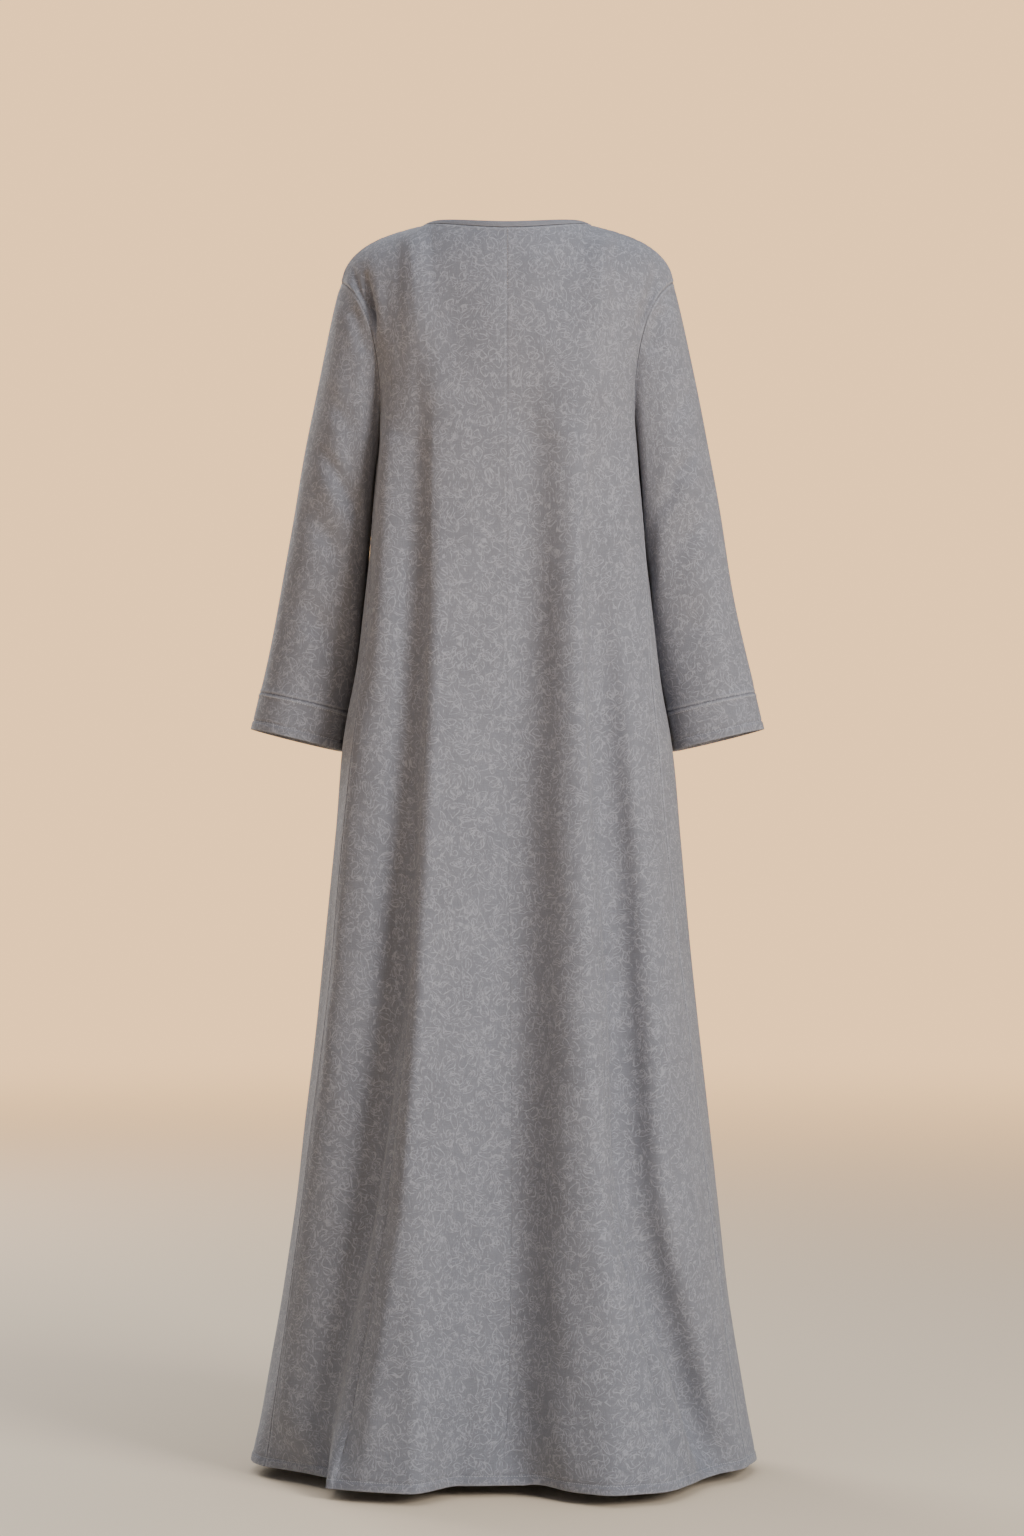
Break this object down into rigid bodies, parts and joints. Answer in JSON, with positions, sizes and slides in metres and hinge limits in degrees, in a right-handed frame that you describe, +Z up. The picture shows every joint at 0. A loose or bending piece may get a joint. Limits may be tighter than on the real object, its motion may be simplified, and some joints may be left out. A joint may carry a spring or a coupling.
{
  "type": "prayer dress",
  "caption": "Long loose prayer dress in grey patterned cloth, worn and hanging, with long cuffed sleeves and a band at the neck.",
  "frame": {"origin": "midway between the two shoulder seams, where the wearer's shoulders carry the dress", "axes": "+Z up, +X to the wearer's left, +Y behind the wearer, so the front faces -Y"},
  "size_m": [0.6182, 0.474, 1.4816],
  "materials": {
    "cloth": "matte to softly lustrous grey cloth with a tone-on-tone pattern of fine curled lines",
    "band": "the same grey cloth, folded and stitched as a narrow neck band"
  },
  "bodies": {
    "root": {"back_left": "cloth", "back_right": "cloth", "front": "cloth", "sleeve_left": "cloth", "sleeve_right": "cloth", "cuff_left": "cloth", "cuff_right": "cloth", "neck_band": "band"}
  },
  "joints": []
}
